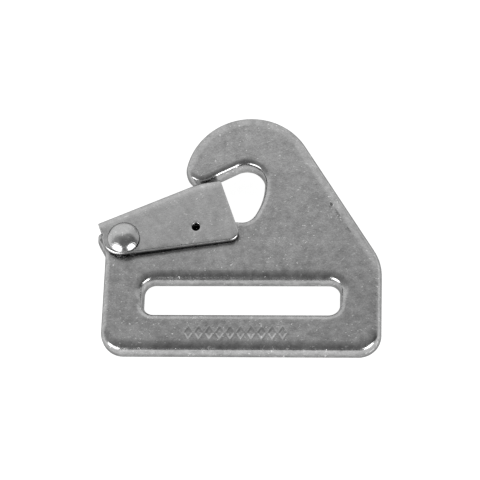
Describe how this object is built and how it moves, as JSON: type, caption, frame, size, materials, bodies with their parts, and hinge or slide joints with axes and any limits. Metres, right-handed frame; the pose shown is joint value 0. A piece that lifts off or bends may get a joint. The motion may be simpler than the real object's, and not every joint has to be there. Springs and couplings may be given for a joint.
{
  "type": "webbing snap hook",
  "caption": "Flat steel snap hook with a long webbing slot and a sprung, folded sheet gate that closes the hook's mouth.",
  "frame": {"origin": "middle of the webbing slot's lower wall, where the webbing bears, at the plate's mid thickness", "axes": "+X along the slot, +Y from the webbing bar towards the hook's crown, +Z out of the front face, on the rivet head's side"},
  "size_m": [0.076, 0.068, 0.0143],
  "materials": {
    "plate_steel": "bright zinc plate, handled",
    "gate_steel": "bright zinc plated sheet",
    "rivet_steel": "polished",
    "spring_wire": "drawn wire"
  },
  "bodies": {
    "hook": {"hook_plate": "plate_steel", "rivet": "rivet_steel", "gate_spring": "spring_wire"},
    "gate": {"gate": "gate_steel"}
  },
  "joints": [
    {"name": "gate_swing", "type": "hinge", "parent": "hook", "child": "gate", "pos_m": [-0.0315, 0.0201, 0], "axis": [0, 0, -1], "range_deg": [0, 19], "stiffness_Nm_per_rad": 0.16, "springref_deg": -45.84, "deforming": ["gate_spring"]}
  ]
}
